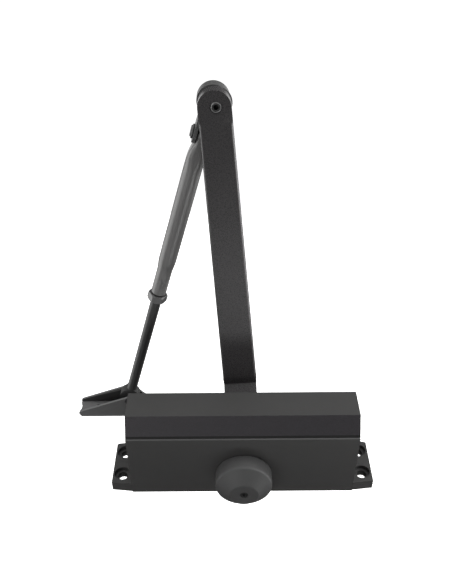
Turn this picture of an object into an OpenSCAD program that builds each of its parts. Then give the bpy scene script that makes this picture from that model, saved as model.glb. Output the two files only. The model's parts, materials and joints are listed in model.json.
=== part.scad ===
// Overhead rack-and-pinion door closer with a regular double-lever arm and a frame shoe.
// X runs along the closer, +Y is the spindle axis from the cap to the arm, and +Z points away from the door.
// The origin is the centre of the mounting face and of its four fixing holes. Lengths are in millimetres.

/* [Body] */
// Length of the housing without its feet
body_len = 147.5; // [140:0.5:160]
// Size of the housing along the spindle
body_w = 39; // [38:0.5:44]
// Projection of the housing from the door
body_h = 63.4; // [62:0.2:68]
// Height of the smooth side face, up to the sloping band
face_h = 51; // [50:0.5:54]
// Width of the sloping band, measured along the spindle
band_w = 9.05; // [7:0.05:10]
// How far the rough band lies below the smooth side face
band_step = 0.8; // [0.2:0.1:0.8]

/* [Feet] */
// Overall length over both feet
total_len = 175; // [174:0.5:190]
// Width of a foot at its outer end
foot_w = 34.6; // [32:0.2:38]
// Thickness of a foot
foot_t = 7.5; // [6:0.5:9]
// Distance between the fixing holes along the closer
hole_dx = 162; // [160:1:166]
// Distance between the fixing holes across the closer
hole_dy = 19; // [17:1:21]
// Diameter of a fixing hole
hole_d = 6.4; // [5:0.1:6.6]
// Diameter of the counterbore around a fixing hole
cbore_d = 10.7; // [9:0.1:11]
// Depth of that counterbore
cbore_depth = 2.7; // [1:0.1:4]

/* [Spindle] */
// Offset of the spindle axis from the middle of the housing
spindle_x = 0.7; // [0:0.1:2]
// Height of the spindle axis above the door
spindle_z = 18.6; // [18.2:0.1:19]
// Number of pinion teeth
teeth = 12; // [12:1:12]
// Gear module
gear_m = 1.25; // [1.25:0.05:1.25]
// Side of the square on each end of the spindle
square = 10; // [9:0.5:10]
// Swing of the main arm in degrees
swing = 175; // [150:5:175]

/* [Main arm] */
// Distance between the spindle and the elbow
arm_len = 224.7; // [200:0.1:240]
// Lean of the arm towards -X in degrees
arm_lean = 3.62; // [0:0.01:10]
// Thickness of the arm
arm_t = 6.4; // [5:0.1:6.8]
// Width of the arm at the elbow
arm_w_elbow = 17.4; // [16:0.1:19]
// Width of the arm above the crank
arm_w_crank = 22.3; // [20:0.1:24]
// Width of the cranked end
arm_w_foot = 22; // [20:0.1:22]
// Face of the straight part, measured from the middle of the housing
arm_y = 30.2; // [30:0.1:31]
// Offset of the crank
crank = 6.9; // [5:0.1:7.5]

/* [Forearm] */
// Distance between the elbow and the shoe pin
forearm_len = 222.4; // [215:0.1:240]
// Lean of the forearm towards -X in degrees
forearm_lean = 16.65; // [10:0.05:25]
// Sideways offset of the forearm axis from the elbow
forearm_off = 1.9; // [0:0.1:2.5]
// Plane of the forearm, measured from the middle of the housing
forearm_y = 44.2; // [44.2:0.1:45]
// Outer diameter of the forearm tube
tube_d = 10.7; // [10:0.1:11]
// Diameter of the swaged end of the tube
swage_d = 9.4; // [9:0.1:9.6]
// Diameter of the adjusting rod
rod_d = 6.8; // [6:0.1:6.8]
// Width across the flats of the lock nut
nut_af = 11; // [10:0.5:11]

/* [Shoe] */
// Length of the shoe's base
shoe_len = 75; // [70:1:80]
// Width of the shoe over its walls
shoe_w = 14.6; // [11:0.1:14.6]
// Height of the shoe's base above the door face
shoe_z = 15; // [0:0.1:20]
// Distance between the shoe's screw holes
shoe_dx = 53; // [50:1:56]

/* [Hidden] */

fit = 0.05;              // radial running clearance
half_l = body_len / 2;
half_w = body_w / 2;
ridge_w = half_w - band_w;

// cylinder and piston
bore_r = 15.5;
bore_z = 34;
plug_r = 17;
plug_len = 8;
nose_len = 4.5;
nose_r = bore_r - 0.15;
plug_gap = 0.5;          // a plug sits this far below the end face
chamber_x = half_l - plug_len - nose_len;
seal_ring_r = 0.93;
head_len = 12;

// pinion and rack
pitch_r = gear_m * teeth / 2;
pressure = 20;
base_r = pitch_r * cos(pressure);
tip_r = pitch_r + gear_m;
root_r = pitch_r - 0.96 * gear_m;
rack_add = 0.68 * gear_m;
rack_ded = 1.25 * gear_m;
backlash = 0.12;
pitch = PI * gear_m;
travel = pitch_r * swing * PI / 180;
rack_z = spindle_z + pitch_r;
window_r = tip_r + 0.55;
window_x0 = spindle_x - window_r;
window_x1 = spindle_x + window_r + travel;
piston_r = bore_r - fit;
piston_x0 = window_x0 - head_len;
piston_x1 = window_x1 + head_len;
face_half = 8;           // half the face width of pinion and rack

// spindle journals, bearings and nuts
journal_r = 7;
bearing_r = 9;
bearing_y0 = 9.3;
bearing_y1 = 15.3;
nut_r = 11.5;
nut_y0 = 15.5;
nut_y1 = 20.3;
seal_y1 = 18.4;
seal_r = 8.6;
shaft_r = 6.6;
arm_foot_y = arm_y - crank;
square_top = arm_foot_y + arm_t - 0.2;
square_low = 33;
arm_thread_r = 2.9;
cap_thread_r = 2.1;

// valves
valve_y = 6.2;
valve_z = 56.6;
valve_r = 3;
valve_bore_len = 16;
gallery_r = 1.5;
valve_len = 13;
valve_x1 = half_l - 0.9;
port_x = [-52, 8];
return_x = 54;

// cap
cap_r = 18.3;
cap_gap = 0.3;
cap_y = -half_w - cap_gap;
skirt = 10.5;
cone = 7;
cap_tip_r = 9;
cap_wall = 2.2;
cap_screw_seat = 1.8;     // step under the screw head, above the end of the spindle
cap_head_r = 2.6;

// elbow
elbow_x = spindle_x - arm_len * sin(arm_lean);
elbow_z = spindle_z + arm_len * cos(arm_lean);
elbow_pin_r = 2.85;
shoulder_r = 4.5;
arm_back = arm_y + arm_t;
washer_t = 0.8;
washer_r = 8.4;
eye_r = 8.6;
eye_side = 1.6;          // the eye bulges towards the forearm by this much
eye_y0 = arm_back + washer_t + fit;
eye_y1 = 43.4;
screw_head_r = 6.5;
screw_head_t = 2.6;
lug_y1 = 48.6;

// knuckle and tube, measured along the forearm from the elbow
rivet_l = 21;
lug_r = 5.9;
lug_out = 4.8;
lug_in = 2.95;
tongue_half = 2.6;
tongue_l = 26.5;
tongue_r = 5.3;
rivet_r = 2.5;
tube_full_l = 43;
swage_l0 = 103.3;
swage_l1 = 112.5;
tube_end_l = 129.7;
tube_bore_r = 4;
thread_bore_r = rod_d / 2 + fit;
hollow_l0 = 50;
thread_l0 = 108;
nut_gap = 0.1;
nut_t = 5.2;
rod_top_l = tube_end_l - 35;
eye_half = 3.3;
rod_eye_r = 6.8;
shoe_pin_r = 2;

// shoe
pin_x = elbow_x - forearm_len * sin(forearm_lean) - forearm_off * cos(forearm_lean);
pin_z = elbow_z - forearm_len * cos(forearm_lean) + forearm_off * sin(forearm_lean);
shoe_x0 = pin_x - 37.3;
shoe_mid_x = pin_x + 2.5;
shoe_floor = 2.5;
shoe_wall = 1.6;
toe_h = 4.8;
apex_h = 18.3;
heel_slope = 1;
toe_notch_r = 7;         // rounded notch across the end of the shoe's base
toe_notch = 0.9;
shoe_hole_r = 2.6;

// a cylinder along Y or along X between two stations
module y_rod(r, y0, y1, fn = 96) {
  translate([0, y0, 0]) rotate([-90, 0, 0]) cylinder(r = r, h = y1 - y0, $fn = fn);
}
module x_rod(r, x0, x1, fn = 96) {
  translate([x0, 0, 0]) rotate([0, 90, 0]) cylinder(r = r, h = x1 - x0, $fn = fn);
}
// a tube along Y
module y_ring(r_out, r_in, y0, y1) {
  difference() {
    y_rod(r_out, y0, y1);
    y_rod(r_in, y0 - 1, y1 + 1);
  }
}
// an outline drawn in X and Z, between two stations along Y
module xz_plate(y0, y1) {
  translate([0, y1, 0]) rotate([90, 0, 0]) linear_extrude(y1 - y0) children();
}
// a section drawn in Y and Z, between two stations along X
module yz_bar(x0, x1) {
  translate([x0, 0, 0]) rotate([90, 0, 90]) linear_extrude(x1 - x0) children();
}
module at_spindle() {
  translate([spindle_x, 0, spindle_z]) children();
}
// arm frame: +Z from the spindle to the elbow
module arm_frame() {
  at_spindle() rotate([0, -arm_lean, 0]) children();
}
// forearm frame: origin at the elbow, +Z along the forearm towards the shoe
module elbow_frame() {
  translate([elbow_x, 0, elbow_z]) rotate([0, 180 + forearm_lean, 0]) children();
}
module forearm_frame() {
  elbow_frame() translate([forearm_off, forearm_y, 0]) children();
}

// ---- housing ----
module body_section() {
  polygon([
    [-half_w, 0], [-half_w, face_h], [-half_w + band_step, face_h + band_step / 2],
    [-ridge_w, body_h], [ridge_w, body_h],
    [half_w - band_step, face_h + band_step / 2], [half_w, face_h], [half_w, 0]
  ]);
}
module feet_outline() {
  polygon([
    [-half_l - 0.01, -half_w + 0.6], [-total_len / 2, -foot_w / 2], [-total_len / 2, foot_w / 2 - 1],
    [-total_len / 2 + 1, foot_w / 2], [-half_l, half_w - 0.6], [half_l, half_w - 0.6],
    [total_len / 2 - 1, foot_w / 2], [total_len / 2, foot_w / 2 - 1],
    [total_len / 2, -foot_w / 2], [half_l + 0.01, -half_w + 0.6]
  ]);
}
module closer_body() {
  color([0.16, 0.16, 0.17]) difference() {
    union() {
      yz_bar(-half_l, half_l) body_section();
      linear_extrude(foot_t) feet_outline();
    }
    translate([0, 0, bore_z]) {
      x_rod(bore_r, -half_l - 1, half_l + 1);
      x_rod(plug_r, -half_l - 1, -half_l + plug_len);
      x_rod(plug_r, half_l - plug_len, half_l + 1);
    }
    at_spindle() {
      y_rod(bearing_r, -half_w - 1, half_w + 1);
      y_rod(nut_r, -half_w - 1, -nut_y0);
      y_rod(nut_r, nut_y0, half_w + 1);
    }
    for (x = [-1, 1], y = [-1, 1]) translate([x * hole_dx / 2, y * hole_dy / 2, 0]) {
      translate([0, 0, -1]) cylinder(d = hole_d, h = foot_t + 2, $fn = 64);
      translate([0, 0, foot_t - cbore_depth]) cylinder(d = cbore_d, h = foot_t, $fn = 64);
    }
    for (i = [0, 1]) translate([0, (2 * i - 1) * valve_y, valve_z]) {
      x_rod(valve_r, half_l - valve_bore_len, half_l + 1, 48);
      x_rod(gallery_r, port_x[i], half_l - valve_bore_len + 1, 32);
    }
    for (i = [0, 1], x = [port_x[i] + gallery_r, return_x])
      translate([x, (2 * i - 1) * valve_y, bore_z]) cylinder(r = 1.2, h = valve_z - bore_z, $fn = 32);
  }
}
// threaded end plug with a hexagon socket and a seal groove; side is 1 at the valve end
module end_plug(side) {
  color([0.2, 0.2, 0.21]) mirror([side < 0 ? 1 : 0, 0, 0]) translate([0, 0, bore_z]) difference() {
    union() {
      x_rod(plug_r, half_l - plug_len, half_l - plug_gap);
      x_rod(nose_r, chamber_x, half_l - plug_len);
    }
    difference() {
      x_rod(plug_r + 1, chamber_x + 1.2, chamber_x + 3.3);
      x_rod(nose_r - 2 * seal_ring_r + 0.1, chamber_x + 1, chamber_x + 3.5);
    }
    x_rod(5.8, half_l - 6, half_l + 1, 6);
  }
}
module spring_end_plug() { end_plug(-1); }
module valve_end_plug() { end_plug(1); }
module plug_seals() {
  color([0.06, 0.06, 0.06]) for (s = [-1, 1]) translate([s * (chamber_x + 2.25), 0, bore_z])
    rotate([0, 90, 0]) rotate_extrude($fn = 96) translate([nose_r - seal_ring_r + 0.12, 0])
      circle(r = seal_ring_r, $fn = 24);
}

// ---- spindle bearings, seals and nuts ----
module bearing() { color([0.72, 0.55, 0.3]) at_spindle() y_ring(bearing_r, journal_r + fit, bearing_y0, bearing_y1); }
module upper_bearing() { bearing(); }
module lower_bearing() { mirror([0, 1, 0]) bearing(); }
module bearing_nut() {
  color([0.22, 0.22, 0.23]) at_spindle() difference() {
    y_rod(nut_r, nut_y0, nut_y1);
    y_rod(shaft_r + 0.15, nut_y0 - 1, nut_y1 + 1);
    y_rod(seal_r, nut_y0 - 1, seal_y1);
    for (a = [0, 180]) rotate([0, a, 0]) translate([9.3, 0, 0]) y_rod(0.9, nut_y1 - 1.5, nut_y1 + 1, 24);
  }
}
module upper_bearing_nut() { bearing_nut(); }
module lower_bearing_nut() {
  color([0.22, 0.22, 0.23]) mirror([0, 1, 0]) at_spindle() difference() {
    y_rod(nut_r, nut_y0, half_w);
    y_rod(shaft_r + 0.15, nut_y0 - 1, nut_y1 + 1);
    y_rod(seal_r, nut_y0 - 1, seal_y1);
  }
}
module shaft_seal() {
  color([0.06, 0.06, 0.06]) at_spindle() difference() {
    y_ring(seal_r, shaft_r + fit, nut_y0 + 0.1, seal_y1);
    y_ring(seal_r - 0.7, shaft_r + 0.6, nut_y0, nut_y0 + 1.4);
  }
}
module upper_shaft_seal() { shaft_seal(); }
module lower_shaft_seal() { mirror([0, 1, 0]) shaft_seal(); }

// ---- piston and spring ----
module rack_tooth() {
  half_pitch_w = pitch / 4 - backlash / 4;
  low = half_pitch_w - rack_add * tan(pressure);
  high = half_pitch_w + rack_ded * tan(pressure);
  polygon([[-low, -rack_add], [low, -rack_add], [high, rack_ded + 0.5], [-high, rack_ded + 0.5]]);
}
module piston() {
  rack_n = floor((window_x1 - window_x0 - 4) / pitch);
  relief_z = spindle_z + bearing_r + 0.8;
  color([0.62, 0.62, 0.64]) difference() {
    union() {
      difference() {
        translate([0, 0, bore_z]) x_rod(piston_r, piston_x0, piston_x1);
        translate([window_x0, -bore_r - 1, 0]) cube([window_x1 - window_x0, 2 * bore_r + 2, rack_z + rack_ded]);
        for (s = [0, 1]) mirror([0, s, 0]) translate([window_x0, face_half + 0.3, 0])
          cube([window_x1 - window_x0, bore_r, relief_z + 0.6]);
      }
      for (i = [-1:rack_n - 2]) translate([spindle_x + (i - 0.5) * pitch + pitch, 0, rack_z])
        xz_plate(-face_half, face_half) rack_tooth();
    }
    for (x = [piston_x0 + 5, piston_x1 - 5]) translate([0, 0, bore_z]) difference() {
      x_rod(bore_r + 1, x - 1.25, x + 1.25);
      x_rod(piston_r - 2, x - 2, x + 2);
    }
    translate([0, 0, bore_z]) {
      x_rod(2.6, piston_x1 - 7, piston_x1 + 1, 48);
      x_rod(1.5, window_x1 - 1, piston_x1, 32);
    }
    translate([window_x1 - 3, -1.5, bore_z - 10]) cube([3.5, 3, 10.5]);
  }
}
module piston_seals() {
  color([0.12, 0.1, 0.08]) for (x = [piston_x0 + 5, piston_x1 - 5]) translate([0, 0, bore_z]) difference() {
    x_rod(piston_r, x - 1.2, x + 1.2);
    x_rod(piston_r - 1.95, x - 2, x + 2);
  }
}
module check_ball() {
  color([0.7, 0.7, 0.7]) translate([piston_x1 - 5.05, 0, bore_z]) sphere(r = 1.9, $fn = 48);
}
module check_ball_seat() {
  color([0.6, 0.5, 0.3]) translate([0, 0, bore_z]) difference() {
    x_rod(2.6, piston_x1 - 2.6, piston_x1 - 0.4, 48);
    x_rod(1.1, piston_x1 - 4, piston_x1 + 1, 32);
  }
}
// compression spring between the plug and the piston
function spring_x(t) = -chamber_x + wire_r + (piston_x0 + chamber_x - 2 * wire_r) * (3 * t * t - 2 * t * t * t);
wire_r = 1.7;
coil_r = 12.6;
turns = 5;
sides = 8;
rings = turns * 24;
module main_spring() {
  ring_pts = [
    for (i = [0:rings], k = [0:sides - 1])
      let (t = i / rings, a = 360 * turns * t, b = 360 * k / sides, r = coil_r + wire_r * cos(b))
        [spring_x(t) + wire_r * sin(b), r * cos(a), bore_z + r * sin(a)]
  ];
  walls = [
    for (i = [0:rings - 1], k = [0:sides - 1])
      let (a = i * sides + k, b = i * sides + (k + 1) % sides) [a, b, b + sides, a + sides]
  ];
  ends = [[for (k = [sides - 1:-1:0]) k], [for (k = [0:sides - 1]) rings * sides + k]];
  color([0.35, 0.35, 0.37]) polyhedron(ring_pts, concat(walls, ends), convexity = 10);
}

// ---- speed valves ----
module valve() {
  color([0.75, 0.6, 0.3]) difference() {
    union() {
      x_rod(valve_r - fit, valve_x1 - valve_len, valve_x1, 48);
      x_rod(gallery_r - 0.3, valve_x1 - valve_len - 3.2, valve_x1 - valve_len + 0.5, 32);
    }
    difference() {
      x_rod(valve_r + 1, valve_x1 - 8.2, valve_x1 - 6.6, 48);
      x_rod(valve_r - 1, valve_x1 - 9, valve_x1 - 6, 48);
    }
    translate([valve_x1 - 1.2, -valve_r - 1, -0.45]) cube([3, 2 * valve_r + 2, 0.9]);
  }
}
module valve_seal() {
  color([0.06, 0.06, 0.06]) difference() {
    x_rod(valve_r - fit, valve_x1 - 8.1, valve_x1 - 6.7, 48);
    x_rod(valve_r - 0.95, valve_x1 - 9, valve_x1 - 6, 48);
  }
}
module closing_valve() { translate([0, -valve_y, valve_z]) valve(); }
module closing_valve_seal() { translate([0, -valve_y, valve_z]) valve_seal(); }
module latching_valve() { translate([0, valve_y, valve_z]) valve(); }
module latching_valve_seal() { translate([0, valve_y, valve_z]) valve_seal(); }

// ---- spindle ----
// half angle of a tooth at radius r, from the involute of the base circle
function roll(r) = sqrt(pow(r / base_r, 2) - 1);
function inv_deg(r) = roll(r) * 180 / PI - atan(roll(r));
function half_tooth(r) = 90 / teeth - backlash / 4 / pitch_r * 180 / PI + inv_deg(pitch_r) - inv_deg(r);
flank_n = 5;
module pinion_outline() {
  flank_r = [for (i = [0:flank_n]) base_r + (tip_r - base_r) * i / flank_n];
  polygon([
    for (k = [0:teeth - 1]) let (c = 90 + 360 * k / teeth) each concat(
      [root_r * [cos(c - half_tooth(base_r)), sin(c - half_tooth(base_r))]],
      [for (i = [0:flank_n]) let (r = flank_r[i]) r * [cos(c - half_tooth(r)), sin(c - half_tooth(r))]],
      [for (i = [flank_n:-1:0]) let (r = flank_r[i]) r * [cos(c + half_tooth(r)), sin(c + half_tooth(r))]],
      [root_r * [cos(c + half_tooth(base_r)), sin(c + half_tooth(base_r))]]
    )
  ]);
}
module square_end(y0, y1, side) {
  intersection() {
    y_rod(side / 2 * 1.32, y0, y1);
    translate([-side / 2, y0, -side / 2]) cube([side, y1 - y0, side]);
  }
}
module pinion_shaft() {
  color([0.5, 0.5, 0.52]) at_spindle() difference() {
    union() {
      xz_plate(-face_half, face_half) pinion_outline();
      y_rod(root_r, -face_half - 0.5, face_half + 0.5);
      for (s = [0, 1]) mirror([0, s, 0]) {
        y_rod(journal_r, face_half, bearing_y1);
        y_rod(shaft_r, bearing_y1 - 1, nut_y1 + 1.2);
      }
      rotate([0, -arm_lean, 0]) square_end(nut_y1, square_top, square);
      square_end(-square_low, -nut_y1, square);
    }
    y_rod(arm_thread_r, square_top - 14, square_top + 1, 48);
    y_rod(cap_thread_r, -square_low - 1, -square_low + 12, 48);
  }
}

// ---- main arm, drawn in the arm frame ----
crank_l0 = 28;           // end of the cranked foot
crank_l1 = 33.4;         // bottom of the groove above the crank
groove_l = 40.5;         // top of that groove
groove_d = 1.2;
step_l = 37.2;           // the wide bar ends here in a small step
arm_foot_r = 12.5;
elbow_shift = 0.85;      // the elbow hole lies off the bar's centre line
arm_shift = 0.6;         // and the line is this far off the spindle at the crank
module arm_outline() {
  union() {
    polygon([
      [arm_shift - arm_w_crank / 2, step_l], [arm_shift + arm_w_crank / 2, step_l],
      [-elbow_shift + arm_w_elbow / 2, arm_len], [-elbow_shift - arm_w_elbow / 2, arm_len]
    ]);
    translate([arm_shift - arm_w_foot / 2, 0]) square([arm_w_foot, step_l + 1]);
    circle(r = arm_foot_r, $fn = 96);
    translate([-elbow_shift, arm_len]) circle(d = arm_w_elbow, $fn = 96);
  }
}
// side view of the bar in Y and along its length
module arm_side() {
  foot_top = arm_foot_y + arm_t;
  polygon([
    [arm_foot_y, -arm_foot_r - 1], [foot_top, -arm_foot_r - 1], [foot_top, crank_l0 - 2.5],
    [arm_back, crank_l1 - 1.5], [arm_back, arm_len + arm_w_elbow], [arm_y, arm_len + arm_w_elbow],
    [arm_y, groove_l], [arm_y + groove_d, crank_l1], [arm_foot_y, crank_l0]
  ]);
}
module main_arm() {
  color([0.15, 0.15, 0.16]) arm_frame() difference() {
    intersection() {
      xz_plate(arm_foot_y - 1, arm_back + 1) arm_outline();
      yz_bar(-arm_w_crank, arm_w_crank) arm_side();
    }
    square_end(arm_foot_y - 1, arm_foot_y + arm_t + 1, square + 0.1);
    translate([0, 0, arm_len]) {
      y_rod(elbow_pin_r, arm_y - 1, arm_back + 1, 48);
      y_rod(elbow_pin_r + 0.5, arm_y - 1, arm_y + 0.4, 48);
    }
  }
}
module arm_washer() {
  color([0.3, 0.3, 0.3]) at_spindle() y_ring(8.5, arm_thread_r + 0.2, arm_foot_y + arm_t, arm_foot_y + arm_t + 1.2);
}
module arm_screw() {
  seat = arm_foot_y + arm_t + 1.2;
  color([0.3, 0.3, 0.3]) at_spindle() difference() {
    union() {
      y_rod(arm_thread_r, square_top - 12, seat + 0.1, 48);
      y_rod(6, seat, seat + 4, 6);
    }
    y_rod(2.3, seat + 1.8, seat + 5, 6);
  }
}
module pinion_cap() {
  seat = square_low + cap_y;
  color([0.33, 0.33, 0.33]) at_spindle() rotate([90, 0, 0]) translate([0, 0, -cap_y]) difference() {
    rotate_extrude($fn = 128) polygon([
      [cap_r - cap_wall, 0], [cap_r, 0], [cap_r, skirt], [cap_tip_r, skirt + cone], [0, skirt + cone],
      [0, seat], [cap_tip_r + 1.5, seat], [cap_r - cap_wall, skirt - 0.6]
    ]);
    translate([0, 0, seat - 1]) cylinder(r = cap_thread_r + 0.15, h = cone, $fn = 48);
    translate([0, 0, seat + cap_screw_seat]) cylinder(r = cap_head_r + 0.1, h = cone, $fn = 48);
  }
}
module cap_screw() {
  seat = square_low + cap_screw_seat;
  top = -cap_y + skirt + cone - 0.3;
  color([0.3, 0.3, 0.3]) at_spindle() mirror([0, 1, 0]) difference() {
    union() {
      y_rod(cap_thread_r, square_low - 10, seat + 0.1, 48);
      y_rod(cap_head_r, seat, top, 48);
    }
    for (a = [0, 90]) rotate([0, a, 0]) translate([-1.6, top - 1.4, -0.35]) cube([3.2, 3, 0.7]);
  }
}

// ---- elbow ----
module elbow_screw() {
  head_y = eye_y1 + 0.1;
  color([0.3, 0.3, 0.3]) translate([elbow_x, 0, elbow_z]) difference() {
    union() {
      y_rod(elbow_pin_r, arm_y + 0.1, arm_back + 0.1, 48);
      y_rod(shoulder_r, arm_back, head_y, 64);
      y_rod(screw_head_r, head_y, head_y + screw_head_t, 64);
    }
    y_rod(1.45, arm_y - 1, arm_y + 2.5, 6);
    y_rod(2.9, head_y + 1, head_y + 4, 6);
  }
}
module elbow_washer() {
  color([0.1, 0.1, 0.1]) translate([elbow_x, 0, elbow_z]) y_ring(washer_r, shoulder_r, arm_back, arm_back + washer_t);
}
module elbow_knuckle() {
  color([0.17, 0.17, 0.18]) elbow_frame() difference() {
    union() {
      translate([eye_side, 0, 0]) y_rod(eye_r, eye_y0, eye_y1);
      translate([forearm_off, forearm_y, 0]) {
        translate([-lug_out, -lug_r, 0]) cube([2 * lug_out, lug_y1 - forearm_y + lug_r, rivet_l - lug_r]);
        translate([-lug_out, -lug_r, rivet_l - lug_r - 0.1]) cube([2 * lug_out, 2 * lug_r, lug_r + 0.1]);
        translate([0, 0, rivet_l]) x_rod(lug_r, -lug_out, lug_out, 64);
      }
    }
    y_rod(shoulder_r + fit, eye_y0 - 1, eye_y1 + 1, 64);
    y_rod(screw_head_r + 0.6, eye_y1, lug_y1 + 1, 64);
    translate([forearm_off - lug_in, 0, rivet_l - tongue_r - 0.6]) cube([2 * lug_in, 60, 60]);
    translate([forearm_off, forearm_y, rivet_l]) x_rod(rivet_r, -10, 10, 48);
  }
}
module knuckle_rivet() {
  color([0.25, 0.25, 0.26]) forearm_frame() translate([0, 0, rivet_l]) {
    x_rod(rivet_r, -lug_out - 0.1, lug_out + 0.1, 48);
    for (s = [0, 1]) mirror([s, 0, 0]) {
      x_rod(3.9, lug_out, lug_out + 1.1, 48);
      x_rod(3, lug_out + 1.1, lug_out + 1.8, 48);
    }
  }
}

// ---- forearm ----
module forearm_tube() {
  r = tube_d / 2;
  side = [
    [tongue_half, 0], [tongue_half, tongue_l], [0.88 * r, tongue_l + 8],
    [r + 0.1, tube_full_l], [r + 0.1, tube_end_l + 1]
  ];
  color([0.45, 0.45, 0.45]) forearm_frame() difference() {
    intersection() {
      rotate_extrude($fn = 96) polygon([
        [0, rivet_l - tongue_r], [r, rivet_l - tongue_r], [r, swage_l0], [swage_d / 2, swage_l1],
        [swage_d / 2, tube_end_l], [0, tube_end_l]
      ]);
      xz_plate(-r - 1, r + 1) polygon(concat(side, [for (i = [len(side) - 1:-1:0]) [-side[i][0], side[i][1]]]));
      union() {
        translate([0, 0, rivet_l]) x_rod(tongue_r, -r - 1, r + 1, 64);
        translate([-r - 1, -tongue_r, rivet_l]) cube([2 * r + 2, 2 * tongue_r, 8]);
        translate([-r - 1, -r - 1, rivet_l + 7.5]) cube([2 * r + 2, 2 * r + 2, tube_end_l]);
      }
    }
    translate([0, 0, rivet_l]) x_rod(rivet_r + fit, -10, 10, 48);
    translate([0, 0, hollow_l0]) cylinder(r = tube_bore_r, h = thread_l0 - hollow_l0, $fn = 64);
    translate([0, 0, thread_l0 - 1]) cylinder(r = thread_bore_r, h = tube_end_l, $fn = 64);
  }
}
module lock_nut() {
  color([0.4, 0.4, 0.4]) forearm_frame() translate([0, 0, tube_end_l + nut_gap]) difference() {
    intersection() {
      cylinder(d = nut_af / cos(30), h = nut_t, $fn = 6);
      rotate_extrude($fn = 96) polygon([
        [0, 0], [nut_af / 2 - 0.1, 0], [nut_af / 2 + 0.9, 0.9], [nut_af / 2 + 0.9, nut_t - 0.9],
        [nut_af / 2 - 0.1, nut_t], [0, nut_t]
      ]);
    }
    translate([0, 0, -1]) cylinder(r = thread_bore_r, h = nut_t + 2, $fn = 64);
  }
}
module adjusting_rod() {
  color([0.2, 0.2, 0.2]) forearm_frame() difference() {
    union() {
      translate([0, 0, rod_top_l]) cylinder(d = rod_d, h = forearm_len - 1 - rod_top_l, $fn = 64);
      translate([0, 0, forearm_len]) y_rod(rod_eye_r, -eye_half, eye_half, 64);
    }
    translate([0, 0, forearm_len]) y_rod(shoe_pin_r + fit, -10, 10, 48);
    for (s = [0, 1]) mirror([0, s, 0])
      translate([-10, eye_half, forearm_len - rod_eye_r - 3]) cube([20, 2, 30]);
  }
}

// ---- frame shoe ----
module shoe_side(top) {
  apex_x = pin_x - 0.2;
  heel_x = apex_x + (apex_h - shoe_floor) / heel_slope;
  polygon([
    [shoe_x0 + 1.5, shoe_z], [shoe_x0, shoe_z + shoe_floor],
    if (top) [shoe_x0, shoe_z + toe_h - 1],
    if (top) [shoe_x0 + 1.2, shoe_z + toe_h],
    if (top) [apex_x - 1.6, shoe_z + apex_h - 0.5],
    if (top) [apex_x, shoe_z + apex_h],
    if (top) [apex_x + 1.8, shoe_z + apex_h - 0.7],
    if (top) [heel_x, shoe_z + shoe_floor],
    [shoe_x0 + shoe_len, shoe_z + shoe_floor], [shoe_x0 + shoe_len, shoe_z]
  ]);
}
module frame_shoe() {
  y0 = forearm_y - shoe_w / 2;
  y1 = forearm_y + shoe_w / 2;
  color([0.2, 0.2, 0.2]) difference() {
    union() {
      xz_plate(y0, y1) shoe_side(false);
      xz_plate(y0, y0 + shoe_wall) shoe_side(true);
      xz_plate(y1 - shoe_wall, y1) shoe_side(true);
    }
    translate([pin_x, 0, pin_z]) y_rod(shoe_pin_r, y0 - 1, y1 + 1, 48);
    for (s = [-1, 1]) translate([shoe_mid_x + s * shoe_dx / 2, forearm_y, shoe_z - 1])
      cylinder(r = shoe_hole_r, h = shoe_floor + 2, $fn = 48);
    translate([shoe_x0 - toe_notch_r + toe_notch, forearm_y, shoe_z - 1])
      cylinder(r = toe_notch_r, h = shoe_floor + 6, $fn = 96);
  }
}
module shoe_pin() {
  reach = shoe_w / 2;
  color([0.3, 0.3, 0.3]) translate([pin_x, forearm_y, pin_z]) {
    y_rod(shoe_pin_r, -reach - 0.1, reach + 0.1, 48);
    y_rod(3.6, reach, reach + 1.3, 48);
    y_rod(3.4, -reach - 0.6, -reach, 48);
  }
}

closer_body();
spring_end_plug();
valve_end_plug();
plug_seals();
upper_bearing();
lower_bearing();
upper_bearing_nut();
lower_bearing_nut();
upper_shaft_seal();
lower_shaft_seal();
piston();
piston_seals();
check_ball();
check_ball_seat();
main_spring();
closing_valve();
closing_valve_seal();
latching_valve();
latching_valve_seal();
pinion_shaft();
main_arm();
arm_washer();
arm_screw();
pinion_cap();
cap_screw();
elbow_screw();
elbow_washer();
elbow_knuckle();
knuckle_rivet();
forearm_tube();
lock_nut();
adjusting_rod();
frame_shoe();
shoe_pin();
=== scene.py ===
import bmesh
import bpy
import json
import math
from mathutils import Matrix, Vector


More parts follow.
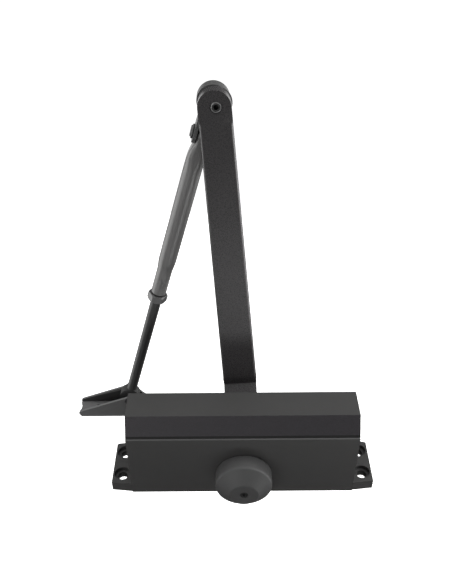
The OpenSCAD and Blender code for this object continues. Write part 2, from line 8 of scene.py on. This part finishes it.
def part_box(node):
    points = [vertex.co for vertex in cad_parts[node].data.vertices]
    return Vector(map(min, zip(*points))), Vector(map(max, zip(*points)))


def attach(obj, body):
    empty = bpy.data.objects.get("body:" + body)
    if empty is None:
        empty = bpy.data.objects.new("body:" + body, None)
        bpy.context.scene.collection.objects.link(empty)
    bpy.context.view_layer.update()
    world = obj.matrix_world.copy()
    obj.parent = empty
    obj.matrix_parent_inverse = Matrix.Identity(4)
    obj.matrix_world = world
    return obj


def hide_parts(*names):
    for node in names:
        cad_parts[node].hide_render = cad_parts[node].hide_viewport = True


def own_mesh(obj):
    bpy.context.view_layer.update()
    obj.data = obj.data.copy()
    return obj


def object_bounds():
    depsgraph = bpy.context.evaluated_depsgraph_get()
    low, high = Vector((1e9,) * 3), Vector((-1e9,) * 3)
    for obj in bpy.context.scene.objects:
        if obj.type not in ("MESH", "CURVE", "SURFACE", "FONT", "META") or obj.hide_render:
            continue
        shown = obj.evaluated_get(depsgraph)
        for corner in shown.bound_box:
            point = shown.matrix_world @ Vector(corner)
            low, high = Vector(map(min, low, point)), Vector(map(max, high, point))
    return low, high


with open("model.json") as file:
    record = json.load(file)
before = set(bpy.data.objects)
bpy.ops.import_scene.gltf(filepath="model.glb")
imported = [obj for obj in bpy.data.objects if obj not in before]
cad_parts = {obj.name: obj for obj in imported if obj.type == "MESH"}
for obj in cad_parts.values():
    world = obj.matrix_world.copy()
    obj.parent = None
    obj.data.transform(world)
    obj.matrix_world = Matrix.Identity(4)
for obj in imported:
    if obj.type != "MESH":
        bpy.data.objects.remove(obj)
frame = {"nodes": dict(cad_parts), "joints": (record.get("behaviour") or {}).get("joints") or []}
cad_lo, cad_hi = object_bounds()
nodes = frame["nodes"]
joints = {j["name"]: j for j in frame["joints"]}
scene = bpy.context.scene
MM = 0.001
SHARP_EDGE = math.radians(28)     # edges sharper than this are rounded

# ---------------------------------------- camera, fitted to the photograph
YAW, PITCH, ROLL = (math.radians(a) for a in (0.4918, 40.6265, -0.7789))
CAMERA_PLACE = Vector((-7.162, -314.625, 378.594)) * MM
cos_yaw, sin_yaw = math.cos(YAW), math.sin(YAW)
cos_pitch, sin_pitch = math.cos(PITCH), math.sin(PITCH)
level_right = Vector((cos_yaw, sin_yaw, 0))
level_up = Vector((-sin_yaw * sin_pitch, cos_yaw * sin_pitch, cos_pitch))
forward = Vector((-sin_yaw * cos_pitch, cos_yaw * cos_pitch, -sin_pitch))
right = math.cos(ROLL) * level_right + math.sin(ROLL) * level_up
up = -math.sin(ROLL) * level_right + math.cos(ROLL) * level_up
cam_data = bpy.data.cameras.new("camera")
cam_data.sensor_width = 36.0
cam_data.lens = 43.07
cam_data.shift_y = 0.0993
cam_data.clip_start, cam_data.clip_end = 0.02, 50.0
camera = bpy.data.objects.new("camera", cam_data)
scene.collection.objects.link(camera)
basis = Matrix((right, up, -forward)).transposed().to_4x4()
camera.matrix_world = Matrix.Translation(CAMERA_PLACE) @ basis
scene.camera = camera
scene.view_settings.view_transform = "Standard"

# ---------------------------------------- places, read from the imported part
spindle = Vector(joints["arm_swing"]["pos_m"])
elbow = Vector(joints["elbow_swing"]["pos_m"])
rivet = Vector(joints["forearm_tilt"]["pos_m"])
along_dir = Vector(joints["rod_adjust"]["axis"]).normalized()
side_dir = -Vector(joints["forearm_tilt"]["axis"]).normalized()
cap_lo, cap_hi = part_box("pinion_cap")
arm_dir = Vector((elbow.x - spindle.x, 0, elbow.z - spindle.z))
arm_len = arm_dir.length
arm_dir.normalize()
# forearm frame: origin beside the elbow, X to the left, Y as the row's, Z along the forearm
along_rivet = (rivet - elbow).dot(along_dir)
forearm_origin = rivet - along_dir * along_rivet
FOREARM = Matrix((side_dir, Vector((0, 1, 0)), along_dir)).transposed().to_4x4()
FOREARM.translation = forearm_origin


# ---------------------------------------- material helpers
def tree(name):
    m = bpy.data.materials.new(name)
    m.use_nodes = True
    nt = m.node_tree
    return m, nt, nt.nodes["Principled BSDF"]


def noise(nt, coords, scale, detail=3.0, rough=0.55, stretch=None):
    n = nt.nodes.new("ShaderNodeTexNoise")
    n.inputs["Scale"].default_value = scale
    n.inputs["Detail"].default_value = detail
    n.inputs["Roughness"].default_value = rough
    if stretch:
        mapping = nt.nodes.new("ShaderNodeMapping")
        mapping.inputs["Scale"].default_value = stretch
        nt.links.new(coords, mapping.inputs["Vector"])
        coords = mapping.outputs["Vector"]
    nt.links.new(coords, n.inputs["Vector"])
    return n.outputs["Fac"]


def ramp(nt, fac, low, high):
    """Turns fac into a blend of two values or colours; low and high are each (place, value)."""
    r = nt.nodes.new("ShaderNodeValToRGB")
    for element, (place, value) in zip(r.color_ramp.elements, (low, high)):
        element.position = place
        element.color = (*value, 1) if hasattr(value, "__len__") else (value, value, value, 1)
    nt.links.new(fac, r.inputs["Fac"])
    return r.outputs["Color"]


def mix(nt, fac, a, b):
    m = nt.nodes.new("ShaderNodeMix")
    m.data_type = "RGBA"
    for socket, value in (("Factor", fac), ("A", a), ("B", b)):
        entry = [s for s in m.inputs if s.name == socket and s.enabled][0]
        if isinstance(value, bpy.types.NodeSocket):
            nt.links.new(value, entry)
        else:
            entry.default_value = (*value, 1) if hasattr(value, "__len__") else value
    return [s for s in m.outputs if s.enabled][0]


def chain_bumps(nt, bsdf, heights):
    """heights: (socket, strength, distance in metres), from coarse to fine."""
    last = None
    for height, strength, distance in heights:
        bump = nt.nodes.new("ShaderNodeBump")
        bump.inputs["Strength"].default_value = strength
        bump.inputs["Distance"].default_value = distance
        nt.links.new(height, bump.inputs["Height"])
        if last is not None:
            nt.links.new(last, bump.inputs["Normal"])
        last = bump.outputs["Normal"]
    nt.links.new(last, bsdf.inputs["Normal"])


def grey(v, warm=0.0):
    return (v * (1 + warm), v, v * (1 - warm))


def shade(colour, share):
    return [c * share for c in colour]


EDGE = {}     # the version of each coat with lightened edges, for wear and painted highlight, by the name of its plain version


def coat(name, colour, rough, tint=0.10, grain=2600.0, grain_bump=0.12, orange=900.0, orange_bump=0.0,
         edge_wear_and_highlight=0.25, specular=0.5, metallic=0.0, stretch=None, spread=0.04):
    """Powder coat, paint or plated steel with fine grain. EDGE gets its version with edges lightened as wear
    and as painted highlight.
    """
    made = []
    for suffix, wear_and_highlight in (("", 0.0), ("_edge", edge_wear_and_highlight)):
        m, nt, bsdf = tree(name + suffix)
        at = nt.nodes.new("ShaderNodeTexCoord").outputs["Object"]
        fine = noise(nt, at, grain, 2.0, 0.6, stretch)
        broad = noise(nt, at, 60.0, 3.0, 0.5)
        speck = noise(nt, at, orange, 2.0, 0.5)
        grains = ramp(nt, fine, (0.30, shade(colour, 1 - tint)), (0.70, shade(colour, 1 + tint)))
        patches = ramp(nt, broad, (0.35, shade(colour, 1 - spread)), (0.65, shade(colour, 1 + spread)))
        base = mix(nt, 0.5, grains, patches)
        # the edges are lightened towards twice the coat's colour: wear, and a painted highlight along them
        if wear_and_highlight:
            worn_highlit_edge = [min(1.0, c * 2.0 + 0.03) for c in colour]
            share = ramp(nt, speck, (0.35, 0.3 * wear_and_highlight), (0.65, min(1.0, wear_and_highlight)))
            base = mix(nt, share, base, worn_highlit_edge)
        nt.links.new(base, bsdf.inputs["Base Color"])
        low, high = max(0.02, rough - 0.05), min(1.0, rough + 0.05)
        nt.links.new(ramp(nt, fine, (0.25, low), (0.75, high)), bsdf.inputs["Roughness"])
        heights = [(broad, 0.004, 0.0006)]
        if orange_bump:
            heights.append((speck, orange_bump, 0.0004))
        heights.append((fine, grain_bump, 0.0001))
        chain_bumps(nt, bsdf, heights)
        bsdf.inputs["Specular IOR Level"].default_value = specular
        bsdf.inputs["Metallic"].default_value = metallic
        made.append(m)
    plain, EDGE[name] = made
    return plain


def metal(name, colour, rough, stretch=(1, 1, 1)):
    """Bare machined metal with tool marks."""
    m, nt, bsdf = tree(name)
    at = nt.nodes.new("ShaderNodeTexCoord").outputs["Object"]
    lines = noise(nt, at, 900.0, 2.0, 0.6, stretch)
    broad = noise(nt, at, 80.0)
    marks = ramp(nt, lines, (0.3, shade(colour, 0.85)), (0.7, colour))
    patches = ramp(nt, broad, (0.3, shade(colour, 0.8)), (0.7, [min(1, c * 1.1) for c in colour]))
    nt.links.new(mix(nt, 0.35, marks, patches), bsdf.inputs["Base Color"])
    nt.links.new(ramp(nt, lines, (0.3, rough - 0.06), (0.7, rough + 0.08)), bsdf.inputs["Roughness"])
    chain_bumps(nt, bsdf, [(lines, 0.25, 0.0001)])
    bsdf.inputs["Metallic"].default_value = 1.0
    return m


# ---------------------------------------- materials
MAT = {
    # the housing's rounded edges are lightened fully, which paints a highlight line along them
    "smooth": coat("housing_smooth_coat", grey(0.046, 0.01), 0.33, tint=0.04, grain=1800, grain_bump=0.04,
                   edge_wear_and_highlight=1.0, specular=0.35, stretch=(0.12, 1, 1), spread=0.02),
    "band": coat("housing_textured_coat", (0.013, 0.011, 0.014), 0.5, tint=0.5, grain=1500, grain_bump=0.4,
                 orange=1100, orange_bump=0.4, edge_wear_and_highlight=0.3, spread=0.05),
    # painted shade: near black, for the shadow line at the foot of the band, the screw recesses and the
    # tube's mouth and bore
    "groove": coat("housing_groove", grey(0.006), 0.7, specular=0.3),
    # painted shade: the cap screw's head, near black around its cross recess
    "recess": coat("screw_head_coat", grey(0.014), 0.6, specular=0.3),
    # painted shade: the ledge under the band, a little darker than the coat
    "rim": coat("housing_rim", grey(0.035), 0.45),
    "arm": coat("arm_coat", (0.043, 0.041, 0.042), 0.28, tint=0.15, grain=2400, grain_bump=0.15,
                specular=0.4, orange=1500, orange_bump=0.1, edge_wear_and_highlight=0.2),
    "knuckle": coat("knuckle_coat", grey(0.072), 0.45, grain_bump=0.15, edge_wear_and_highlight=0.4),
    "cap": coat("cap_coat", grey(0.044), 0.58, tint=0.03, grain=4000, grain_bump=0.05, edge_wear_and_highlight=0.2, spread=0.02),
    "tube": coat("tube_coat", grey(0.10, 0.015), 0.34, tint=0.04, grain=3000, grain_bump=0.06, edge_wear_and_highlight=0.3,
                 specular=0.8, spread=0.02),
    "rod": coat("rod_coat", grey(0.021, 0.01), 0.42, tint=0.05, grain_bump=0.08, edge_wear_and_highlight=0.4, spread=0.03),
    "nut": coat("nut_coat", grey(0.06, 0.01), 0.34, tint=0.06, grain_bump=0.1, edge_wear_and_highlight=0.5, specular=0.8),
    "pin": coat("pin_coat", grey(0.03), 0.35, specular=0.4),
    "shoe": coat("shoe_coat", grey(0.092), 0.46, tint=0.04, grain=3000, grain_bump=0.08, edge_wear_and_highlight=0.45,
                 spread=0.03),
    # painted shade: the inner faces of the shoe channel
    "shoe_painted_shade": coat("shoe_inside_coat", grey(0.02), 0.6, tint=0.08, grain=3000, grain_bump=0.08),
    "dark_steel": coat("black_oxide_steel", grey(0.05), 0.4, edge_wear_and_highlight=0.6, metallic=0.6),
    "ground": metal("ground_steel", (0.42, 0.42, 0.43), 0.28, (1, 8, 1)),
    "cast": metal("turned_piston", (0.34, 0.34, 0.35), 0.38, (8, 1, 1)),
    "bronze": metal("bearing_bronze", (0.45, 0.28, 0.11), 0.4, (1, 6, 1)),
    "brass": metal("valve_brass", (0.42, 0.29, 0.11), 0.42, (6, 1, 1)),
    "spring": metal("spring_steel", (0.25, 0.25, 0.27), 0.42),
    "rubber": coat("seal_rubber", grey(0.015), 0.7, tint=0.2, edge_wear_and_highlight=0.1),
}
# the elbow pin's chamfer is painted far brighter than its coat: a painted highlight ring
EDGE["pin_coat"] = coat("pin_bright_edge", grey(0.22), 0.35, specular=0.8)


# ---------------------------------------- mesh helpers
def as_object(name, verts, faces, material, place=None, smooth=35.0):
    me = bpy.data.meshes.new(name)
    me.from_pydata([tuple(v) for v in verts], [], faces)
    bm = bmesh.new()
    bm.from_mesh(me)
    bmesh.ops.recalc_face_normals(bm, faces=bm.faces)
    bm.to_mesh(me)
    bm.free()
    if place is not None:
        me.transform(place)
    me.polygons.foreach_set("use_smooth", [True] * len(me.polygons))
    me.set_sharp_from_angle(angle=math.radians(smooth))
    me.materials.append(material)
    o = bpy.data.objects.new(name, me)
    scene.collection.objects.link(o)
    return o


def clean_mesh(node):
    """Vertices and polygons of a CAD node, with split corners joined and flat faces made whole."""
    bm = bmesh.new()
    bm.from_mesh(nodes[node].data)
    bmesh.ops.remove_doubles(bm, verts=bm.verts, dist=2e-6)
    bmesh.ops.dissolve_limit(bm, angle_limit=math.radians(0.6), verts=bm.verts, edges=bm.edges)
    bm.verts.ensure_lookup_table()
    bm.verts.index_update()
    verts = [v.co.copy() for v in bm.verts]
    faces = [[v.index for v in f.verts] for f in bm.faces]
    bm.free()
    return verts, faces


def bevel(o, width, segments, method="ANGLE", clamp=True):
    """Rounds the edges of o; width is in mm."""
    b = o.modifiers.new("edges", "BEVEL")
    b.limit_method = method
    b.angle_limit = SHARP_EDGE
    b.width = width * MM
    b.segments = segments
    b.use_clamp_overlap = clamp
    w = o.modifiers.new("shading", "WEIGHTED_NORMAL")
    w.mode = "FACE_AREA"
    w.weight = 100
    w.keep_sharp = True
    return b


def weigh_edges(bm, weight_of):
    """Gives each sharp edge the bevel weight that weight_of finds for its middle; the others get none."""
    layer = bm.edges.layers.float.new("bevel_weight_edge")
    for e in bm.edges:
        if e.calc_face_angle(0) > SHARP_EDGE:
            e[layer] = weight_of((e.verts[0].co + e.verts[1].co) / 2)


def placed(o, body, node):
    """Puts o on its body, in place of a CAD node."""
    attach(o, body)
    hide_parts(node)
    return o


def piece(name, node, body, material, width=0.25, segments=2):
    """A copy of a CAD node with rounded edges, which stands for it; width 0 leaves them sharp."""
    verts, faces = clean_mesh(node)
    o = as_object(name, verts, faces, MAT[material])
    if width:
        b = bevel(o, width, segments)
        # the rounded edges take the coat's lightened version: wear and painted highlight
        worn_highlit_edge = EDGE.get(MAT[material].name)
        if worn_highlit_edge:
            o.data.materials.append(worn_highlit_edge)
            b.material = 1
    return placed(o, body, node)


def ring_faces(count, steps, closed):
    """Quads between count rings of steps vertices each; closed joins the last ring to the first."""
    faces = []
    for j in range(count if closed else count - 1):
        a, b = j * steps, (j + 1) % count * steps
        for i in range(steps):
            k = (i + 1) % steps
            faces.append([a + i, a + k, b + k, b + i])
    return faces


def lathe(name, profile, material, place, steps):
    """profile: a closed loop of (radius, height) pairs in mm, turned round the local Z axis."""
    verts = []
    for r, h in profile:
        for i in range(steps):
            a = 2 * math.pi * i / steps
            verts.append(Vector((r * math.cos(a), r * math.sin(a), h)) * MM)
    return as_object(name, verts, ring_faces(len(profile), steps, True), material, place)


def fillet(points, radii, steps):
    """Rounds the corners of a closed (r, h) profile; radii holds 0 for a corner left sharp."""
    out = []
    n = len(points)
    for k, (p, r) in enumerate(zip(points, radii)):
        if not r:
            out.append(p)
            continue
        a, b = Vector(points[k - 1]), Vector(points[(k + 1) % n])
        c = Vector(p)
        to_a, to_b = (a - c).normalized(), (b - c).normalized()
        half = math.acos(max(-1, min(1, to_a.dot(to_b)))) / 2
        reach = r / math.tan(half)
        centre = c + (to_a + to_b).normalized() * (r / math.sin(half))
        start, end = c + to_a * reach - centre, c + to_b * reach - centre
        turn = start.angle_signed(end)
        for i in range(steps + 1):
            v = start.copy()
            v.rotate(Matrix.Rotation(-turn * i / steps, 2))
            out.append(tuple(centre + v))
    return out


def paint_recess_shade(o, axis, radius, skin):
    """Paints the walls and floor of the driver recess in the front end of a screw near black: painted shade.

    They lie within radius of the axis, and deeper than skin; both are in mm.
    """
    deepest = 6
    o.data.materials.append(MAT["groove"])
    front = min(v.co.y for v in o.data.vertices)
    for f in o.data.polygons:
        from_axis = math.hypot(f.center.x - axis.x, f.center.z - axis.z)
        if from_axis < radius * MM and front + skin * MM < f.center.y < front + deepest * MM:
            f.material_index = len(o.data.materials) - 1


# ---------------------------------------- housing
BAND_FOOT = 52.8 * MM                                    # height of the upper edge of the strip painted near black as shadow
LEDGE_LOW, LEDGE_HIGH = 50.5 * MM, 52.2 * MM             # the ledge under the band lies between these
LEDGE_FROM_MIDDLE = 18.5 * MM                            # and further out than this
BAND_SLOT, SHADOW_STRIP_SLOT, LEDGE_SLOT = 2, 3, 4              # 0 is the coat and 1 the lightened version on its rounded edges: wear and painted highlight


def on_band(normal, outwards):
    """Whether a face is on a textured band; outwards is the share of its normal that points sideways."""
    return outwards > 0.7 and 0.4 < normal.z < 0.75


def cut_shadow_strip(bm, side):
    """Cuts a narrow strip off the foot of the textured band on one side, which is painted near black as a
    shadow line.
    """
    band = [f for f in bm.faces if on_band(f.normal, side * f.normal.y) and f.calc_area() > 1e-4]
    parts = band + [e for f in band for e in f.edges] + [v for f in band for v in f.verts]
    bmesh.ops.bisect_plane(bm, geom=list(set(parts)), plane_co=(0, 0, BAND_FOOT), plane_no=(0, 0, 1))


housing = piece("housing", "closer_body", "closer", "smooth", 0.3)
for key in ("band", "groove", "rim"):
    housing.data.materials.append(MAT[key])
bm = bmesh.new()
bm.from_mesh(housing.data)
for side in (-1, 1):
    cut_shadow_strip(bm, side)
bm.to_mesh(housing.data)
bm.free()
# the strip at the foot of the band is painted near black: a painted shadow line under the band
for f in housing.data.polygons:
    c = f.center
    if on_band(f.normal, abs(f.normal.y)):
        f.material_index = BAND_SLOT if c.z > BAND_FOOT else SHADOW_STRIP_SLOT
    # the ledge gets the painted shade, a little darker than the coat
    elif LEDGE_LOW < c.z < LEDGE_HIGH and abs(c.y) > LEDGE_FROM_MIDDLE and f.area > 1e-5:
        f.material_index = LEDGE_SLOT

piece("end_plug_left", "spring_end_plug", "closer", "dark_steel", 0.3)
piece("end_plug_right", "valve_end_plug", "closer", "dark_steel", 0.3)
piece("bearing_nut_top", "upper_bearing_nut", "closer", "dark_steel", 0.3)
piece("bearing_nut_bottom", "lower_bearing_nut", "closer", "dark_steel", 0.2)
for valve in ("closing_valve", "latching_valve"):
    piece(valve + "_screw", valve, valve, "brass", 0.12)

# ---------------------------------------- cap
cap_r = (cap_hi.x - cap_lo.x) / 2 / MM
cap_h = (cap_hi.y - cap_lo.y) / MM
mouth_r, wall_top, tip_r = 16.1, 10.4, 9.2
bore_r, head_r, head_seat, ceiling = 2.3, 2.72, 15.0, 13.2
cap_outline = [
    (mouth_r, 0), (cap_r, 0), (cap_r, wall_top), (tip_r, cap_h),
    (head_r, cap_h), (head_r, head_seat), (bore_r, head_seat), (bore_r, ceiling),
    (10.5, ceiling), (mouth_r, 9.9),
]
cap_radii = [0.3, 0.5, 2.4, 0.9, 0.15, 0, 0, 0, 1, 1]
down_y = Matrix.Rotation(math.pi / 2, 4, "X")    # local +Z to row -Y
cap_place = Matrix.Translation(Vector((spindle.x, cap_hi.y, spindle.z))) @ down_y
cap = lathe("spindle_cap", fillet(cap_outline, cap_radii, 8), MAT["cap"], cap_place, 128)
placed(cap, "arm", "pinion_cap")
# the cap screw's head is painted near black, darker than the cap: painted shade round its cross recess
cap_screw = piece("cap_cross_screw", "cap_screw", "arm", "recess", 0)
# the cross recess is painted near black as shade
paint_recess_shade(cap_screw, spindle, 2.3, 0.2)

# ---------------------------------------- main arm
ARM_THICK = 6.4 * MM
CRANK_END = 41                           # mm from the spindle
bar_end = arm_len / MM - 9.5             # mm from the spindle, just before the round end
TOUCHING = 1e-4

verts, faces = clean_mesh("main_arm")
arm = as_object("cranked_arm", verts, faces, MAT["arm"])
# the bar's two faces, measured beyond the crank
rear_y = max(v.y for v in verts if (v - spindle).dot(arm_dir) > 0.1)
front_y = rear_y - ARM_THICK


def arm_weight(middle):
    """The long front edges are rounded most, the rear ones less, and those of the round end not at all."""
    along = (middle - spindle).dot(arm_dir) / MM
    if along >= bar_end:
        return 0.0
    if along > CRANK_END and abs(middle.y - front_y) < TOUCHING:
        return 1.0
    if along > CRANK_END and abs(middle.y - rear_y) < TOUCHING:
        return 0.3
    return 0.16


bm = bmesh.new()
bm.from_mesh(arm.data)
bmesh.ops.bisect_plane(bm, geom=bm.verts[:] + bm.edges[:] + bm.faces[:],
                       plane_co=spindle + arm_dir * (bar_end * MM), plane_no=arm_dir)
weigh_edges(bm, arm_weight)
bm.to_mesh(arm.data)
bm.free()
# the arm's rounded edges take the lightened coat: wear and painted highlight
arm.data.materials.append(EDGE["arm_coat"])
bevel(arm, 2.2, 6, method="WEIGHT", clamp=False).material = 1
placed(arm, "arm", "main_arm")
piece("arm_fixing_washer", "arm_washer", "arm", "dark_steel", 0.2)
piece("arm_fixing_screw", "arm_screw", "arm", "dark_steel", 0.35)
piece("spindle", "pinion_shaft", "arm", "ground", 0.12, 1)


# ---------------------------------------- elbow
def pin_weight(middle):
    """Only the outer rim of the pin is chamfered, not its socket."""
    from_axis = middle - elbow
    return 1.0 if math.hypot(from_axis.x, from_axis.z) > 2.2 * MM else 0.0


elbow_pin = piece("elbow_pin_screw", "elbow_screw", "arm", "pin", 0.75, 3)
bm = bmesh.new()
bm.from_mesh(elbow_pin.data)
weigh_edges(bm, pin_weight)
bm.to_mesh(elbow_pin.data)
bm.free()
elbow_pin.modifiers["edges"].limit_method = "WEIGHT"
# the pin's socket is painted near black as shade
paint_recess_shade(elbow_pin, elbow, 1.8, 0.3)
piece("elbow_spacer", "elbow_washer", "arm", "knuckle", 0.15)
piece("elbow_fork", "elbow_knuckle", "knuckle", "knuckle", 0.6, 3)
piece("fork_rivet", "knuckle_rivet", "knuckle", "dark_steel", 0.35, 3)

# ---------------------------------------- forearm tube, lofted along its axis, in mm
TUBE_STEPS = 72
tube_r, swaged_r, swage_start, swage_end = 5.35, 4.7, 103.3, 112.5
flat_w, flat_d = 2.6, 5.3                # half width and half depth of the flattened end
rolls, first_roll, roll_pitch = 9, 116.8, 1.25
rivet_at = along_rivet / MM
nut_at = (Vector(joints["lock_nut_turn"]["pos_m"]) - forearm_origin).dot(along_dir) / MM
tube_end = nut_at - 2.7


def share(at, start, end):
    return max(0.0, min(1.0, (at - start) / (end - start)))


def eased(t):
    return t * t * (3 - 2 * t)


def tube_section(at):
    """Place along the forearm, half width, half depth and squareness of the tube there."""
    flat_end = rivet_at + 4.5
    rounding = eased(share(at, flat_end, rivet_at + 22))
    widening = 1 - (1 - share(at, flat_end, flat_end + 11)) ** 2.2
    w = flat_w + (tube_r - flat_w) * widening * (0.86 + 0.14 * rounding)
    d = flat_d + (tube_r - flat_d) * rounding
    if at > swage_start:
        w = d = tube_r + (swaged_r - tube_r) * eased(share(at, swage_start, swage_end))
    if at < rivet_at:
        d = math.sqrt(max(0.04, flat_d ** 2 - (rivet_at - at) ** 2))
    return at, w, d, 2.0 + 2.6 * (1 - rounding)


def circles(start, shape):
    """Round sections; shape holds (distance from start, radius) pairs."""
    return [(start + at, r, r, 2) for at, r in shape]


stations = [rivet_at - flat_d * math.cos(a * math.pi / 20) for a in range(1, 11)]
stations += [rivet_at + 1.5 * k for k in range(1, 17)] + [50, 60, 75, 90, 100]
stations += [swage_start + k * 0.9 for k in range(12)] + [114, 116]
sections = [tube_section(at) for at in stations]
for k in range(rolls):
    sections += circles(first_roll + k * roll_pitch, ((0, 4.7), (0.4, 4.72), (0.75, 4.56), (1.0, 4.6)))
# the mouth, and the bore behind it
sections += circles(tube_end, ((-1.3, 4.7), (-0.75, 4.6), (-0.7, 4.2), (0, 4.2), (0, 3.5), (-12, 3.5)))
verts = []
for at, w, d, power in sections:
    for i in range(TUBE_STEPS):
        a = 2 * math.pi * i / TUBE_STEPS
        c, s = math.cos(a), math.sin(a)
        k = (abs(c) ** power + abs(s) ** power) ** (-1 / power)
        verts.append(Vector((w * c * k, d * s * k, at)) * MM)
first_ring = list(range(TUBE_STEPS))
last_ring = [len(verts) - TUBE_STEPS + i for i in first_ring]
faces = ring_faces(len(sections), TUBE_STEPS, False) + [first_ring[::-1], last_ring]
tube = as_object("forearm_tube_shell", verts, faces, MAT["tube"], FOREARM, 40)
# the mouth's inner lip and the bore behind it are painted near black: painted shade inside the tube
tube.data.materials.append(MAT["groove"])
for f in tube.data.polygons:
    if (f.center - forearm_origin).dot(along_dir) > (tube_end - 0.73) * MM:
        f.material_index = 1
placed(tube, "forearm", "forearm_tube")
piece("lock_nut_hex", "lock_nut", "lock_nut", "nut", 0.18)
piece("adjusting_rod_bar", "adjusting_rod", "rod", "rod", 0.4, 3)

# ---------------------------------------- shoe
shoe = piece("shoe_channel", "frame_shoe", "shoe", "shoe", 0.35, 3)
# the channel's inner faces are painted near black: painted shade inside the channel
shoe.data.materials.append(MAT["shoe_painted_shade"])
shoe_edges = [v.co.y for v in shoe.data.vertices]
shoe_mid = (min(shoe_edges) + max(shoe_edges)) / 2
for f in shoe.data.polygons:
    if f.area > 5e-5 and (f.center.y - shoe_mid) * f.normal.y < -1e-4:
        f.material_index = 2
piece("shoe_rivet", "shoe_pin", "shoe", "dark_steel", 0.3, 3)

# ---------------------------------------- spring, given a mesh of its own; the real one shortens as the piston comes
spring = piece("coil_spring", "main_spring", "closer", "spring", 0)
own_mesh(spring)

# ---------------------------------------- sealed inner parts keep their CAD meshes
INNER = {
    "rubber": ("plug_seals", "upper_shaft_seal", "lower_shaft_seal", "piston_seals", "closing_valve_seal",
               "latching_valve_seal"),
    "bronze": ("upper_bearing", "lower_bearing"),
    "cast": ("piston",),
    "ground": ("check_ball",),
    "brass": ("check_ball_seat",),
}
for key, inner_nodes in INNER.items():
    for name in inner_nodes:
        mesh = nodes[name].data
        mesh.materials.clear()
        mesh.materials.append(MAT[key])

# ---------------------------------------- floor
WHITE = (1, 1, 1, 1)
floor_z = cad_lo.z - 0.5
floor_half = 12
floor_mat, nt, bsdf = tree("pale_floor")
at = nt.nodes.new("ShaderNodeTexCoord").outputs["Object"]
nt.links.new(ramp(nt, noise(nt, at, 3.0), (0.3, 0.93), (0.7, 0.95)), bsdf.inputs["Base Color"])
bsdf.inputs["Roughness"].default_value = 0.9
bsdf.inputs["Emission Color"].default_value = WHITE
bsdf.inputs["Emission Strength"].default_value = 1.0
corners = ((-1, -1), (1, -1), (1, 1), (-1, 1))
floor = as_object("floor", [(x * floor_half, y * floor_half, floor_z) for x, y in corners],
                  [[0, 1, 2, 3]], floor_mat)
floor.visible_diffuse = False
floor.visible_glossy = False
floor.visible_shadow = False

# ---------------------------------------- world: dim as a light, white behind the part
world = bpy.data.worlds.new("studio")
scene.world = world
world.use_nodes = True
nt = world.node_tree
dim = nt.nodes["Background"]
dim.inputs["Color"].default_value = WHITE
dim.inputs["Strength"].default_value = 0.05
seen = nt.nodes.new("ShaderNodeBackground")
seen.inputs["Color"].default_value = WHITE
seen.inputs["Strength"].default_value = 1.0
pick = nt.nodes.new("ShaderNodeMixShader")
nt.links.new(nt.nodes.new("ShaderNodeLightPath").outputs["Is Camera Ray"], pick.inputs["Fac"])
nt.links.new(dim.outputs["Background"], pick.inputs[1])
nt.links.new(seen.outputs["Background"], pick.inputs[2])
nt.links.new(pick.outputs["Shader"], nt.nodes["World Output"].inputs["Surface"])

# ---------------------------------------- lights
part_middle = Vector((-0.01, 0.01, 0.1))
arm_middle = Vector((-0.005, 0.03, 0.14))
SOFTBOXES = {     # power, place, width, height, and the point it is aimed at
    "left": (4.4, (-0.55, 0.08, 0.2), 0.6, 1.1, part_middle),
    "right": (9.0, (0.55, 0.08, 0.2), 0.6, 1.1, part_middle),
    "top": (8.8, (0.0, 0.15, 1.3), 1.2, 1.0, part_middle),
    "front_low": (0.9, (0.0, -0.62, -0.34), 1.2, 0.18, arm_middle),
    "front_low_right": (0.65, (0.35, -0.62, -0.36), 0.5, 0.12, arm_middle),
    "front_left": (3.2, (-0.6, -0.9, 0.25), 0.5, 0.8, part_middle),
    "front": (1.5, (0.1, -1.2, 0.6), 0.9, 0.5, part_middle),
    "back": (0.3, (0.0, 1.2, 0.9), 1.4, 0.8, part_middle),
    "behind": (5.0, (0.0, 1.3, -0.1), 1.6, 0.8, part_middle),
}
for name, (power, place, width, height, aim) in SOFTBOXES.items():
    data = bpy.data.lights.new("light_" + name, "AREA")
    data.shape = "RECTANGLE"
    data.size, data.size_y = width, height
    data.energy = power
    lamp = bpy.data.objects.new("light_" + name, data)
    scene.collection.objects.link(lamp)
    lamp.location = place
    lamp.rotation_euler = (Vector(place) - aim).to_track_quat("Z", "Y").to_euler()
    lamp.visible_camera = False
